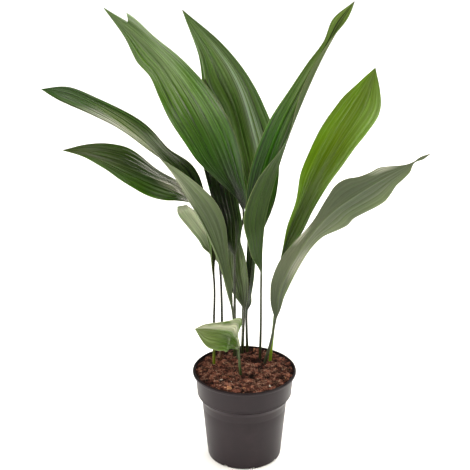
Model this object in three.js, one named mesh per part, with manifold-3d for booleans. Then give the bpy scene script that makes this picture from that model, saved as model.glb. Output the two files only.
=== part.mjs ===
// Potted cast iron plant (Aspidistra elatior): eleven leaves on one creeping rhizome, in a plastic
// nursery pot. Millimetres, +Z up, origin at the centre of the pot's underside. -Y is the plant's front.
import * as THREE from "three";
import { mergeVertices } from "three/addons/utils/BufferGeometryUtils.js";
import Module from "manifold-3d";

const wasm = await Module();
wasm.setup();

// Driving dimensions
const SIDES = 60; // facets round the pot and the soil
const CLEARANCE = 0.4; // gap between pieces that touch on the real plant

const POT_HEIGHT = 155;
const RIM_RADIUS = 85;
const LIP_DEPTH = 5;
const LIP_OVERHANG = 4.2;
const LIP_ROUNDING = 1;
const COLLAR_BOTTOM = 116;
const COLLAR_RADIUS = 77.8; // at its lower edge
const STEP_BOTTOM = 102.5;
const STEP_ROUNDING = 2.5; // height of the bevels above and below the step
const WALL_TOP_RADIUS = 70.3;
const FOOT_RADIUS = 60.4;
const FOOT_ROUNDING = 3;
const WALL = 1.8;
const DRAIN_HOLES = 6;
const DRAIN_DIAMETER = 10;
const DRAIN_SIDES = 20;
const DRAIN_CIRCLE = 38; // radius of the circle that the holes stand on
const FOOT_SLOTS = 8;
const SLOT_WIDTH = 8;
const SLOT_HEIGHT = 3.4;
const SLOT_REACH = 12; // length of the slot's cutter, in through the wall
const SLOT_TURN = 0.3; // where the first slot lies, in slot spacings from +X

const SOIL_EDGE = 152; // height of the soil where it meets the pot
const SOIL_MOUND = 3; // how much higher it stands in the middle
const SOIL_LUMP = 1.3; // height of its lumps
const SOIL_RINGS = 11;

const RHIZOME_RADIUS = 7;
const RHIZOME_HEIGHT = 110;
const RHIZOME_STEPS = 12;
const RHIZOME_SIDES = 8;
const RHIZOME_GAP = 0.7; // between it and the soil, wider than elsewhere because its rings slope
const RHIZOME_TIP = 0.55; // share of its radius left at the ends
const SCAR_DEPTH = 0.06; // share of its radius that the ring at each leaf scar sinks in
const FOOT_HEIGHT = 118; // where every leaf stalk starts, on top of the rhizome
const HOLE_TOP = 160; // how high the stalk holes are cut, well over the soil

const STALK_RADIUS = 2;
const FOOT_SWELL = 0.4; // how much thicker a stalk is at its foot
const CHANNEL = 0.85; // a stalk is flatter above than below, by this factor
const BLADE = 0.8; // thickness of a leaf blade
const BLADE_START = 0.12; // share of the blade over which the stalk flattens into it
const TIP = 0.45; // half width of a blade at its very tip
const MARGIN_LAG = 2.1; // radians by which the waves on the right margin trail those on the left
const RIB = 2.2; // half width of the midrib
const KEEL = 1.8; // how far the midrib stands out under the blade at its base
const KEEL_TIP = 0.2; // and at its tip
const STALK_STEPS = 7;
const BLADE_STEPS = 22;
const ACROSS = [0.5, 1]; // points on each half of a blade, beside the midrib's own

// Value at t from 0 to 1 of a smooth curve through evenly spread numbers.
function through(values, t) {
  const last = values.length - 1;
  const u = THREE.MathUtils.clamp(t, 0, 1) * last;
  const i = Math.min(Math.floor(u), last - 1);
  const f = u - i;
  const p1 = values[i];
  const p2 = values[i + 1];
  const p0 = i > 0 ? values[i - 1] : 2 * p1 - p2;
  const p3 = i + 2 <= last ? values[i + 2] : 2 * p2 - p1;
  const bend = 2 * p0 - 5 * p1 + 4 * p2 - p3 + f * (3 * (p1 - p2) + p3 - p0);
  return p1 + 0.5 * f * (p2 - p0 + f * bend);
}

function pointOn(points, t) {
  return new THREE.Vector3(...[0, 1, 2].map((axis) => through(points.map((p) => p[axis]), t)));
}

function direction(points, t) {
  const step = 0.001;
  return pointOn(points, Math.min(t + step, 1)).sub(pointOn(points, Math.max(t - step, 0))).normalize();
}

// Closed skin over a row of loops. Each loop runs along the upper side from left to right and back below,
// and both sides are split into triangles along the same diagonals.
function skin(loops) {
  const n = loops[0].length;
  const half = n / 2;
  const position = loops.flat().flatMap((p) => [p.x, p.y, p.z]);
  const index = [];
  for (let i = 0; i < loops.length - 1; i++) {
    for (let j = 0; j < n; j++) {
      const a = i * n + j;
      const b = i * n + ((j + 1) % n);
      const c = b + n;
      const d = a + n;
      index.push(...(j < half ? [a, b, c, a, c, d] : [a, b, d, b, c, d]));
    }
  }
  const end = (loops.length - 1) * n;
  for (let j = 0; j < half - 1; j++) {
    const below = n - 1 - j;
    index.push(j, below, below - 1, j, below - 1, j + 1);
    index.push(end + j, end + below - 1, end + below, end + j, end + j + 1, end + below - 1);
  }
  const geometry = new THREE.BufferGeometry();
  geometry.setAttribute("position", new THREE.Float32BufferAttribute(position, 3));
  geometry.setIndex(index);
  return geometry;
}

function solid(geometry) {
  const bare = geometry.clone();
  bare.deleteAttribute("normal");
  bare.deleteAttribute("uv");
  const merged = mergeVertices(bare, 1e-3);
  return new wasm.Manifold(
    new wasm.Mesh({
      numProp: 3,
      vertProperties: new Float32Array(merged.attributes.position.array),
      triVerts: new Uint32Array(merged.index.array),
    }),
  );
}

function geometryOf(body) {
  const mesh = body.getMesh();
  const geometry = new THREE.BufferGeometry();
  geometry.setAttribute("position", new THREE.BufferAttribute(new Float32Array(mesh.vertProperties), 3));
  geometry.setIndex(new THREE.BufferAttribute(new Uint32Array(mesh.triVerts), 1));
  geometry.computeVertexNormals();
  return geometry;
}

// A solid of revolution about +Z from [radius, height] pairs.
function turned(profile) {
  const points = profile.map(([radius, height]) => new THREE.Vector2(radius, height));
  return new THREE.LatheGeometry(points, SIDES).rotateX(Math.PI / 2);
}

// Leaves. Each one is a stalk that rises from the rhizome and a blade that grows on from it.
//   stalk, blade  points on the midrib, the stalk's from its foot, the blade's from its base to its tip
//   left, right   half widths at even steps from the blade's base to its tip, seen with the tip away
//   turn          degrees that the upper side is turned about the midrib, away from the front
//   fold, curl    degrees that each half rises from the midrib, and that it bends by on its way to the margin
//   wave          waves along a margin, their height, and where they start
const leaves = {
  leaf_tall_front: {
    stalk: [
      [-3, 68, FOOT_HEIGHT], [-3, 75, 153], [-2, 76, 198], [-2, 80, 252], [-6, 85, 308], [-8, 87, 356],
    ],
    blade: [
      [-2, 84, 404], [-32, 83, 469], [-63, 90, 542], [-103, 105, 612], [-150, 120, 669], [-223, 135, 728],
    ],
    left: [2, 6, 19, 35, 41, 44, 41, 35, 34, 15, 0.5],
    right: [2, 18, 32, 40, 43, 39, 32, 26, 18, 18, 0.5],
    turn: [10, 0, -5, -5],
    fold: { left: [20, 8, 0], right: [20, 12, 8] },
    curl: { left: [10, 0, -10], right: [0, -10, -15] },
    wave: { count: 2.5, height: 3, start: 0 },
    tear: { from: 0.7, at: 0.905, inner: 7, reach: 14 },
  },
  leaf_tall_back: {
    stalk: [[5, 66, FOOT_HEIGHT], [5, 68, 154], [4, 69, 191]],
    blade: [
      [4, 70, 229], [8, 75, 282], [16, 97, 359], [21, 123, 427], [9, 147, 507], [-24, 172, 607],
      [-101, 202, 706],
    ],
    left: [2, 4, 6, 9, 12, 20, 26, 34, 40, 42, 50, 23, 0.5],
    right: [2, 12, 14, 11, 17, 27, 35, 41, 42, 34, 24, 15, 0.5],
    turn: [-20, -10, 0, 0, 0],
    fold: { left: [30, 20, 8, 0], right: [60, 40, 15, 8, 5] },
    curl: { left: [0, 0, 0, -10], right: [0, 0, 0, -10] },
    wave: { count: 2, height: 2, start: 1 },
  },
  leaf_folded: {
    stalk: [[26, 44, FOOT_HEIGHT], [26, 44, 156], [27, 43, 214]],
    blade: [[27, 42, 302], [29, 40, 369], [37, 38, 429], [66, 34, 541], [114, 32, 667], [165, 30, 767]],
    left: [2, 14, 23, 28, 33, 38, 42, 43, 40, 36, 27, 19, 11, 15, 0.5],
    right: [2, 13, 25, 33, 39, 42, 43, 41, 38, 34, 29, 21, 11, 9, 0.5],
    turn: [-90, -90, -90, -85],
    fold: { left: [60, 60, 60, 65, 75, 75, 75], right: [60, 50, 50, 55, 45, 12, 30, 25, -60] },
    curl: { left: [0, 0], right: [0, 0] },
    wave: { count: 2, height: 1.5, start: 1 },
  },
  leaf_bright: {
    stalk: [[43, 33, FOOT_HEIGHT], [43, 33, 154], [48, 38, 211], [53, 46, 268]],
    blade: [[60, 52, 325], [77, 60, 382], [113, 70, 461], [149, 82, 525], [184, 94, 582], [207, 104, 639]],
    left: [2, 4, 9, 13, 27, 32, 35, 35, 31, 17, 0.5],
    right: [2, 10, 20, 20, 23, 28, 31, 36, 38, 22, 0.5],
    turn: [-30, -10, 0, 0],
    fold: { left: [40, 10, 5], right: [30, 10, 5] },
    curl: { left: [0, 0, 0], right: [0, -20, -40] },
    wave: { count: 2.5, height: 2.5, start: 2 },
  },
  leaf_low_right: {
    stalk: [[34, 23, FOOT_HEIGHT], [34, 23, 153], [43, 21, 192]],
    blade: [
      [51, 18, 240], [60, 8, 304], [88, -5, 371], [130, -18, 435], [185, -32, 485], [237, -44, 523],
      [281, -52, 552],
    ],
    left: [2, 6, 10, 15, 17, 18, 19, 20, 22, 27, 39, 44, 39, 41, 44, 44, 36, 25, 19, 13, 1.5, 3.5, 0.5],
    right: [2, 9, 15, 19, 20, 20, 19, 17, 15, 13, 13, 17, 23, 30, 30, 24, 22, 22, 13, 4, 1.5, 3.5, 0.5],
    turn: [-180, -170, -165, -165, -160],
    fold: { left: [30, 20, 5, 0], right: [40, 40, 45, 25, 5, 0] },
    curl: { left: [0, 0], right: [0, 0] },
    wave: { count: 3, height: 2.5, start: 1 },
  },
  leaf_long_left: {
    stalk: [[-11, 40, FOOT_HEIGHT], [-11, 40, 162], [-16, 40, 197]],
    blade: [
      [-21, 41, 252], [-41, 40, 330], [-64, 36, 392], [-89, 32, 442], [-118, 30, 494], [-157, 29, 540],
      [-218, 31, 589], [-271, 33, 617], [-316, 36, 626],
    ],
    left: [2, 15, 33, 38, 38, 34, 20, 30, 27, 0.5],
    right: [2, 8, 14, 38, 45, 27, 35, 28, 24, 0.5],
    turn: [160, 140, 98, 80, 75],
    fold: { left: [60, 50, 23, 3, 0], right: [60, 70, 48, 2, 0] },
    curl: { left: [0, 0], right: [0, 0] },
    wave: { count: 2.5, height: 2, start: 1 },
  },
  leaf_low_left: {
    stalk: [[-50, 20, FOOT_HEIGHT], [-50, 20, 150], [-50, 24, 224]],
    blade: [
      [-50, 38, 306], [-67, 68, 391], [-104, 80, 437], [-161, 85, 464], [-225, 88, 489], [-293, 90, 505],
    ],
    left: [2, 6, 8, 27, 42, 42, 42, 38, 20, 5, 0.5],
    right: [2, 9, 8, 14, 24, 40, 50, 52, 41, 23, 0.5],
    turn: [60, 65, 72, 66, 60],
    fold: { left: [70, 45, 0, 5, 0], right: [70, 30, -20, -3, 0] },
    curl: { left: [0, 0], right: [0, 0] },
    wave: { count: 2.5, height: 2.5, start: 3 },
  },
  leaf_pale: {
    stalk: [[-39, 33, FOOT_HEIGHT], [-39, 33, 151], [-37, 42, 222]],
    blade: [
      [-41, 62, 317], [-56, 74, 349], [-73, 84, 373], [-89, 94, 392], [-96, 106, 396], [-102, 130, 392],
      [-105, 150, 370],
    ],
    left: [2, 20, 20, 21, 21, 17, 12, 7, 0.5],
    right: [2, 6, 8, 9, 9, 8, 6, 4, 0.5],
    turn: [0, 0],
    fold: { left: [30, 10, 0], right: [30, 10, 0] },
    curl: { left: [0, 0], right: [0, 0] },
    wave: { count: 2, height: 1, start: 1 },
    front: [0, -0.42, 0.91],
  },
  leaf_dark_inner: {
    stalk: [[-15, 52, FOOT_HEIGHT], [-16, 52, 161], [-16, 52, 223], [-16, 53, 283]],
    blade: [[-16, 56, 335], [-16, 73, 385], [-27, 104, 436], [-43, 124, 512], [-64, 140, 609]],
    left: [2, 21, 26, 29, 31, 33, 34, 26, 0.5],
    right: [2, 9, 12, 12, 16, 20, 21, 16, 0.5],
    turn: [0, 0],
    fold: { left: [30, 12, 0], right: [30, -10, -5] },
    curl: { left: [0, 0], right: [0, 0] },
    wave: { count: 2, height: 1.5, start: 1 },
  },
  leaf_small_inner: {
    stalk: [[-4, 60, FOOT_HEIGHT], [-4, 61, 153], [-2, 61, 187]],
    blade: [[0, 60, 235], [-1, 62, 269], [-6, 68, 305], [-11, 77, 340], [-17, 88, 380]],
    left: [2, 13, 22, 27, 27, 24, 19, 12, 0.5],
    right: [2, 6, 9, 12, 12, 11, 8, 4, 0.5],
    turn: [-20, -20, 0],
    fold: { left: [10, 5, 0], right: [20, 10, 10] },
    curl: { left: [0, 0], right: [0, 0] },
    wave: { count: 2, height: 1.5, start: 1 },
  },
  leaf_low_small: {
    stalk: [[-6, -19, FOOT_HEIGHT], [-6, -19, 152], [-8, -18, 174]],
    blade: [[-10, -15, 198], [-16, -14, 218], [-36, -18, 232], [-80, -24, 241]],
    left: [2, 16, 25, 31, 30, 31, 26, 0.5],
    right: [2, 4, 5, 6, 12, 33, 24, 17, 13, 9, 0.5],
    turn: [60, 40, 20],
    fold: { left: [20, 10, 0], right: [60, 30, 0] },
    curl: { left: [0, 0], right: [0, 0] },
    wave: { count: 2, height: 2, start: 1 },
  },
};

// Unit vectors at t on a leaf: along the midrib, out of the upper side, and towards the right margin.
function frameOn(leaf, t) {
  const spine = [...leaf.stalk, ...leaf.blade];
  const along = direction(spine, t);
  const front = new THREE.Vector3(...(leaf.front ?? [0, -1, 0]));
  const upper = front.addScaledVector(along, -front.dot(along)).normalize();
  upper.applyAxisAngle(along, THREE.MathUtils.degToRad(through(leaf.turn, bladeShare(leaf, t))));
  return { along, upper, right: new THREE.Vector3().crossVectors(along, upper) };
}

// Where the blade begins, and how far along the blade t is.
function bladeBegin(leaf) {
  return leaf.stalk.length / (leaf.stalk.length + leaf.blade.length - 1);
}

function bladeShare(leaf, t) {
  return Math.max(0, (t - bladeBegin(leaf)) / (1 - bladeBegin(leaf)));
}

function stalkRadius(leaf, t) {
  return STALK_RADIUS * (1 + FOOT_SWELL * (1 - THREE.MathUtils.smoothstep(t / bladeBegin(leaf), 0, 1)));
}

// Half width of one side and how far its margin reaches ahead, which parts the torn tip from the blade.
function reachOf(leaf, side, share, radius, flat) {
  const least = share > 0.5 ? TIP : radius * (1 - flat) + TIP * flat;
  const width = share > 0 ? Math.max(through(leaf[side], share), least) : radius;
  if (!leaf.tear || side === "left") return { width, ahead: 0 };
  const { from, at, inner, reach } = leaf.tear;
  if (share > at + 1e-6) return { width: Math.min(width, (inner * (1 - share)) / (1 - at)) + TIP, ahead: 0 };
  return { width, ahead: reach * Math.max(0, (share - from) / (at - from)) };
}

// One loop of a leaf's skin, at t from the stalk's foot to the tip, or of a hole round it if it is grown.
function leafLoop(leaf, t, grow = 0) {
  const centre = pointOn([...leaf.stalk, ...leaf.blade], t);
  const { along, upper, right } = frameOn(leaf, t);
  const share = bladeShare(leaf, t);
  const flat = THREE.MathUtils.smoothstep(share, 0, BLADE_START);
  const radius = stalkRadius(leaf, t) + grow;
  const swell = share > 0 ? Math.sin(Math.PI * Math.min(share, 1)) ** 0.7 : 0;

  function half(side, sign) {
    const { width, ahead } = reachOf(leaf, side, share, radius, flat);
    const fold = THREE.MathUtils.degToRad(through(leaf.fold[side], share)) * flat;
    const curl = THREE.MathUtils.degToRad(through(leaf.curl[side], share)) * flat;
    const phase = 2 * Math.PI * leaf.wave.count * share + leaf.wave.start + (sign > 0 ? MARGIN_LAG : 0);
    return [Math.min(0.3, RIB / width), ...ACROSS].map((s) => {
      const angle = fold + curl * s;
      const bent = Math.abs(curl) > 1e-3;
      const out = bent ? (width * (Math.sin(angle) - Math.sin(fold))) / curl : width * s * Math.cos(fold);
      const rise = bent ? (width * (Math.cos(fold) - Math.cos(angle))) / curl : width * s * Math.sin(fold);
      const wave = leaf.wave.height * swell * s * s * Math.sin(phase) * Math.min(1, width / 20);
      const round = (1 - flat) * radius * Math.sqrt(Math.max(1 - s * s, 0.04));
      return {
        out: sign * out,
        rise: rise + wave,
        tilt: sign * angle,
        above: CHANNEL * round + (flat * BLADE) / 2,
        below: round + (flat * BLADE) / 2,
        ahead: ahead * s * s,
      };
    });
  }

  const keel = KEEL - (KEEL - KEEL_TIP) * THREE.MathUtils.smoothstep(share, 0, 1);
  const middle = {
    out: 0,
    rise: 0,
    tilt: 0,
    above: (1 - flat) * radius * CHANNEL + (flat * BLADE) / 3,
    below: (1 - flat) * radius + flat * (BLADE / 2 + keel),
    ahead: 0,
  };
  const row = [...half("left", -1).reverse(), middle, ...half("right", 1)];
  const place = (p, height) =>
    centre
      .clone()
      .addScaledVector(right, p.out - Math.sin(p.tilt) * height)
      .addScaledVector(upper, p.rise + Math.cos(p.tilt) * height)
      .addScaledVector(along, p.ahead);
  return [...row.map((p) => place(p, p.above)), ...row.reverse().map((p) => place(p, -p.below))];
}

function stalkStations(leaf) {
  return Array.from({ length: STALK_STEPS }, (_, i) => (bladeBegin(leaf) * i) / STALK_STEPS);
}

function leafGeometry(leaf) {
  const begin = bladeBegin(leaf);
  const stations = stalkStations(leaf);
  for (let i = 0; i <= BLADE_STEPS; i++) stations.push(begin + ((1 - begin) * i) / BLADE_STEPS);
  if (leaf.tear) {
    const torn = [leaf.tear.at, leaf.tear.at + 0.004];
    stations.push(...torn.map((share) => begin + (1 - begin) * share));
    stations.sort((a, b) => a - b);
  }
  return skin(stations.map((t) => leafLoop(leaf, t)));
}

// The plain hole in the soil that a leaf's stalk stands in, from the rhizome to above the surface.
function holeGeometry(leaf) {
  const heights = stalkStations(leaf).map((t) => pointOn([...leaf.stalk, ...leaf.blade], t).z);
  const clear = heights.findIndex((z) => z > HOLE_TOP);
  const loops = stalkStations(leaf).slice(0, clear + 1).map((t) => leafLoop(leaf, t, CLEARANCE));
  const under = loops[0].map((p) => p.clone().setZ(RHIZOME_HEIGHT));
  return skin([under, ...loops]);
}

// Rhizome: a creeping stem under the surface, branched under the leaves, ringed at each old leaf scar.
const rhizomeBranches = [
  [[-6, -27], [-6, -19], [-9, 8], [-11, 40], [-14, 52], [-5, 60], [0, 67]],
  [[-8, 12], [12, 20], [34, 23], [44, 34]],
  [[-11, 34], [6, 42], [26, 44]],
  [[-10, 22], [-24, 32], [-39, 33], [-51, 19]],
];

// Its solid, or that of its bed in the soil if it is grown.
function rhizomeBody(grow = 0) {
  const branches = rhizomeBranches.map((path) => {
    const points = path.map(([x, y]) => [x, y, RHIZOME_HEIGHT]);
    const loops = [];
    for (let i = 0; i <= RHIZOME_STEPS; i++) {
      const t = i / RHIZOME_STEPS;
      const along = direction(points, t);
      const side = new THREE.Vector3().crossVectors(along, new THREE.Vector3(0, 0, 1));
      const taper = RHIZOME_TIP + (1 - RHIZOME_TIP) * Math.min(1, 8 * t, 8 * (1 - t));
      const scar = i % 2 ? SCAR_DEPTH : 0;
      const radius = RHIZOME_RADIUS * taper * (1 - scar) + grow;
      const centre = pointOn(points, t).addScaledVector(along, grow * (2 * t - 1));
      const loop = [];
      for (let j = 0; j < RHIZOME_SIDES; j++) {
        const angle = Math.PI - (2 * Math.PI * (j + 0.5)) / RHIZOME_SIDES;
        loop.push(
          centre
            .clone()
            .addScaledVector(side, radius * Math.cos(angle))
            .setZ(RHIZOME_HEIGHT + radius * Math.sin(angle)),
        );
      }
      loops.push(loop);
    }
    return solid(skin(loops));
  });
  return branches.reduce((whole, branch) => whole.add(branch));
}

// Pot: moulded shell with a wide collar, a step under it, drain holes in the floor and slots in the foot.
const collarSlope = (RIM_RADIUS - LIP_OVERHANG - COLLAR_RADIUS) / (POT_HEIGHT - COLLAR_BOTTOM);
const wallSlope = (WALL_TOP_RADIUS - FOOT_RADIUS) / STEP_BOTTOM;

function potOutside() {
  const lipBottom = POT_HEIGHT - LIP_DEPTH;
  return [
    [0, 0],
    [FOOT_RADIUS - FOOT_ROUNDING, 0],
    [FOOT_RADIUS - FOOT_ROUNDING * 0.3, FOOT_ROUNDING * 0.3],
    [FOOT_RADIUS + wallSlope * FOOT_ROUNDING, FOOT_ROUNDING],
    [WALL_TOP_RADIUS, STEP_BOTTOM],
    [WALL_TOP_RADIUS + 1, STEP_BOTTOM + STEP_ROUNDING],
    [COLLAR_RADIUS - 1, COLLAR_BOTTOM - STEP_ROUNDING],
    [COLLAR_RADIUS, COLLAR_BOTTOM],
    [COLLAR_RADIUS + collarSlope * (lipBottom - COLLAR_BOTTOM), lipBottom],
    [RIM_RADIUS, lipBottom + LIP_ROUNDING],
    [RIM_RADIUS, POT_HEIGHT - LIP_ROUNDING],
    [RIM_RADIUS - LIP_ROUNDING, POT_HEIGHT],
  ];
}

// The pot's inner wall from the mouth down to the floor, moved inwards by a gap.
function potInside(gap) {
  return [
    [COLLAR_RADIUS + collarSlope * (POT_HEIGHT - COLLAR_BOTTOM) - WALL - gap, POT_HEIGHT],
    [COLLAR_RADIUS - WALL - gap, COLLAR_BOTTOM],
    [WALL_TOP_RADIUS - WALL - gap, STEP_BOTTOM],
    [FOOT_RADIUS + wallSlope * WALL - WALL - gap, WALL + gap],
    [0, WALL + gap],
  ];
}

function potBody() {
  let body = solid(turned([...potOutside(), ...potInside(0)]));
  for (let i = 0; i < DRAIN_HOLES; i++) {
    const angle = (2 * Math.PI * i) / DRAIN_HOLES;
    const radius = DRAIN_DIAMETER / 2;
    const hole = new THREE.CylinderGeometry(radius, radius, 4 * WALL, DRAIN_SIDES);
    hole.rotateX(Math.PI / 2).translate(DRAIN_CIRCLE * Math.cos(angle), DRAIN_CIRCLE * Math.sin(angle), 0);
    body = body.subtract(solid(hole));
  }
  for (let i = 0; i < FOOT_SLOTS; i++) {
    const slot = new THREE.BoxGeometry(SLOT_REACH, SLOT_WIDTH, 2 * SLOT_HEIGHT);
    slot.translate(FOOT_RADIUS, 0, 0).rotateZ((2 * Math.PI * (i + SLOT_TURN)) / FOOT_SLOTS);
    body = body.subtract(solid(slot));
  }
  return body;
}

// Height of the soil's lumps over its even surface.
function lump(x, y) {
  const broad = Math.sin(0.11 * x + 0.07 * y + 1) + Math.sin(0.13 * y - 0.05 * x + 2.4);
  const fine = Math.sin(0.43 * x + 0.31 * y) * Math.sin(0.39 * y - 0.37 * x + 0.8);
  return SOIL_LUMP * (0.45 * broad + 0.8 * fine);
}

function soilBody() {
  const [mouth, ...wall] = potInside(CLEARANCE);
  const edge = mouth[0] - (POT_HEIGHT - SOIL_EDGE) * collarSlope;
  const profile = [...wall.reverse(), [edge, SOIL_EDGE]];
  for (let ring = SOIL_RINGS - 1; ring >= 0; ring--) {
    const share = ring / SOIL_RINGS;
    profile.push([edge * share, SOIL_EDGE + SOIL_MOUND * (1 - share ** 3)]);
  }
  const geometry = turned(profile);
  const position = geometry.attributes.position;
  for (let i = 0; i < position.count; i++) {
    const [x, y, z] = [position.getX(i), position.getY(i), position.getZ(i)];
    const inward = 1 - Math.hypot(x, y) / edge;
    if (z > SOIL_EDGE + 1e-3) position.setZ(i, z + lump(x, y) * Math.min(1, 4 * inward));
  }
  let body = solid(geometry);
  for (const leaf of Object.values(leaves)) body = body.subtract(solid(holeGeometry(leaf)));
  return body.subtract(rhizomeBody(RHIZOME_GAP));
}

const leafColours = {
  leaf_tall_front: "#3f6b35",
  leaf_tall_back: "#3c5f36",
  leaf_folded: "#4a6442",
  leaf_bright: "#6f9a3a",
  leaf_low_right: "#61715a",
  leaf_long_left: "#41603a",
  leaf_low_left: "#3a6a24",
  leaf_pale: "#8b967f",
  leaf_dark_inner: "#22361f",
  leaf_small_inner: "#50663f",
  leaf_low_small: "#6d9340",
};

function piece(name, geometry, colour, roughness) {
  const material = new THREE.MeshStandardMaterial({ color: colour, roughness, metalness: 0 });
  const mesh = new THREE.Mesh(geometry, material);
  mesh.name = name;
  return mesh;
}

const plant = new THREE.Group();
for (const [name, leaf] of Object.entries(leaves)) {
  plant.add(piece(name, leafGeometry(leaf), leafColours[name], 0.45));
}
plant.add(piece("rhizome", geometryOf(rhizomeBody()), "#9a8458", 0.8));

const pottedPlant = new THREE.Group();
pottedPlant.add(
  piece("pot", geometryOf(potBody()), "#413d3c", 0.5),
  piece("soil", geometryOf(soilBody()), "#4a2f26", 0.95),
  plant,
);

export default pottedPlant;
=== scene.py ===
import itertools
import math
import random

import bpy
import numpy as np
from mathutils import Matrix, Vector, noise


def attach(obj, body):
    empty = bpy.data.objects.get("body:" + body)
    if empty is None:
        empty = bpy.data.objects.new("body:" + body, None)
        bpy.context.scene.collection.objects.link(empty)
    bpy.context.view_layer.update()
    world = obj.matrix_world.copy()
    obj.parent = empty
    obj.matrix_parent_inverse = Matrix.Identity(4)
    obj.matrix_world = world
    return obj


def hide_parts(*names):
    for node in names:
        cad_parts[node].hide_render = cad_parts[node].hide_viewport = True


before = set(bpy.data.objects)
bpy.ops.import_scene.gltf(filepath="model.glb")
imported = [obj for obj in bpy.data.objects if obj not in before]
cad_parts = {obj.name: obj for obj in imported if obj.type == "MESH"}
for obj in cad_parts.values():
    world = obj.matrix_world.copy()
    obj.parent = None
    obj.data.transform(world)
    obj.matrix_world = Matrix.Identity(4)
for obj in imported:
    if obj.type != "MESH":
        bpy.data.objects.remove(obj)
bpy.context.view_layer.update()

# ----------------------------------------------------------------------
# Pot. One injection moulding in anthracite polypropylene: a thin rolled lip, a wide collar that sits
# in a carrying tray, a step, and a tapered wall with drain holes in its floor and slots in its foot.
# ----------------------------------------------------------------------
POT_HEIGHT = 155
RIM_RADIUS = 85
LIP_DEPTH = 5
LIP_OVERHANG = 4.2
LIP_ROUNDING = 1.6
COLLAR_BOTTOM = 116
COLLAR_RADIUS = 77.8
STEP_BOTTOM = 102.5
WALL_TOP_RADIUS = 70.3
FOOT_RADIUS = 60.4
FOOT_ROUNDING = 3
WALL = 1.8
MOUTH_FLARE = 2  # the mouth is wider by this much inside the lip
FLARE_DEPTH = 5.5  # down to this far under the rim
FLARE_RISE = 1.5  # height over which the mouth widens
MOUTH_ROUNDING = 0.7
FOOT_FACE = 9  # width of the flat ring at the edge of the underside
GROOVE_HEIGHT = 113  # a shallow groove under the collar's lower edge
GROOVE_DEPTH = 0.3
GROOVE_WIDTH = 0.8
BEAD_START = 1.7  # the bead over the groove starts this far above it,
BEAD_INSET = 0.5  # this far inside the collar's radius,
BEAD_PROUD = 0.1  # and stands out by this much
BEAD_FACE = 0.8
BEAD_FADE = 1.2
STEP_IN = 6.6
STEP_CURVE = 1.35
STEP_POINTS = 12
RING_HEIGHT = 92  # a shallow ring moulded into the wall under the step
RING_REACH = 3
RING_DEPTH = 0.3
DRAIN_HOLES = 6
DRAIN_RADIUS = 5
DRAIN_CIRCLE = 38
FOOT_SLOTS = 8
SLOT_WIDTH = 8
SLOT_HEIGHT = 3.4
SLOT_REACH = 12
SLOT_TURN = 0.3  # where the first slot lies, in slot spacings from +X
POT_SIDES = 240
SHARP_EDGE = 38  # degrees from which an edge of the pot is shown sharp

collar_slope = (RIM_RADIUS - LIP_OVERHANG - COLLAR_RADIUS) / (POT_HEIGHT - COLLAR_BOTTOM)
wall_slope = (WALL_TOP_RADIUS - FOOT_RADIUS) / STEP_BOTTOM
lip_bottom = POT_HEIGHT - LIP_DEPTH
mouth_radius = RIM_RADIUS - LIP_OVERHANG - WALL + MOUTH_FLARE


def wall_at(height):
    return FOOT_RADIUS + wall_slope * height


def collar_at(height):
    return COLLAR_RADIUS + collar_slope * (height - COLLAR_BOTTOM)


def corner(centre, radius, start, end, steps):
    """[radius, height] points round a corner. Angles are in degrees: 0 points outwards and 90 up."""
    angles = [math.radians(start + (end - start) * i / steps) for i in range(steps + 1)]
    return [(centre[0] + radius * math.cos(a), centre[1] + radius * math.sin(a)) for a in angles]


def turned(profile, sides):
    """Vertices in metres and faces of a solid of revolution, from a profile that starts and ends on
    the axis."""
    rings = profile[1:-1]
    angles = np.arange(sides) * 2 * math.pi / sides
    vertices = [(0, 0, profile[0][1]), (0, 0, profile[-1][1])]
    for radius, height in rings:
        vertices += [(radius * math.cos(a), radius * math.sin(a), height) for a in angles]
    faces = []
    last = 2 + (len(rings) - 1) * sides
    for k in range(sides):
        after = (k + 1) % sides
        faces.append((0, 2 + after, 2 + k))
        faces.append((1, last + k, last + after))
        for a in range(2, last, sides):
            faces.append((a + k, a + after, a + sides + after, a + sides + k))
    return np.array(vertices) * 0.001, faces


def mesh_piece(name, vertices, faces, material):
    """A smooth-shaded mesh object."""
    mesh = bpy.data.meshes.new(name)
    mesh.from_pydata([tuple(v) for v in vertices], [], faces)
    mesh.materials.append(material)
    mesh.shade_smooth()
    piece = bpy.data.objects.new(name, mesh)
    bpy.context.scene.collection.objects.link(piece)
    return piece


def linear(colour):
    """Linear RGBA of an sRGB hex colour."""
    channels = [int(colour[i : i + 2], 16) / 255 for i in (1, 3, 5)]
    return (*[c / 12.92 if c <= 0.04045 else ((c + 0.055) / 1.055) ** 2.4 for c in channels], 1)


def add(material, kind, sockets, ramp=None, output=None, **settings):
    """Adds a shader node with its settings and returns its output, the first unless one is named.
    A socket's value is a number, a vector, a hex colour or another node's output, which is linked."""
    tree = material.node_tree
    node = tree.nodes.new("ShaderNode" + kind)
    for name, value in settings.items():
        setattr(node, name, value)
    shown = [socket for socket in node.inputs if socket.enabled]
    for name, value in sockets.items():
        socket = shown[name] if isinstance(name, int) else next(s for s in shown if s.name == name)
        if isinstance(value, bpy.types.NodeSocket):
            tree.links.new(value, socket)
        else:
            socket.default_value = linear(value) if isinstance(value, str) else value
    if ramp:
        stops = node.color_ramp.elements
        while len(stops) < len(ramp):
            stops.new(0.5)
        for stop, (position, colour) in zip(stops, ramp):
            stop.position = position
            stop.color = linear(colour)
    offered = [socket for socket in node.outputs if socket.enabled and output in (None, socket.name)]
    return offered[0] if offered else None


def maths(material, operation, *values):
    """Adds a maths node and returns its output."""
    return add(material, "Math", dict(enumerate(values)), operation=operation)


def ranged(material, value, low, high, start=0, end=1):
    """A value between low and high, turned into one between start and end."""
    sockets = {"Value": value, "From Min": low, "From Max": high, "To Min": start, "To Max": end}
    return add(material, "MapRange", sockets)


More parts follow.
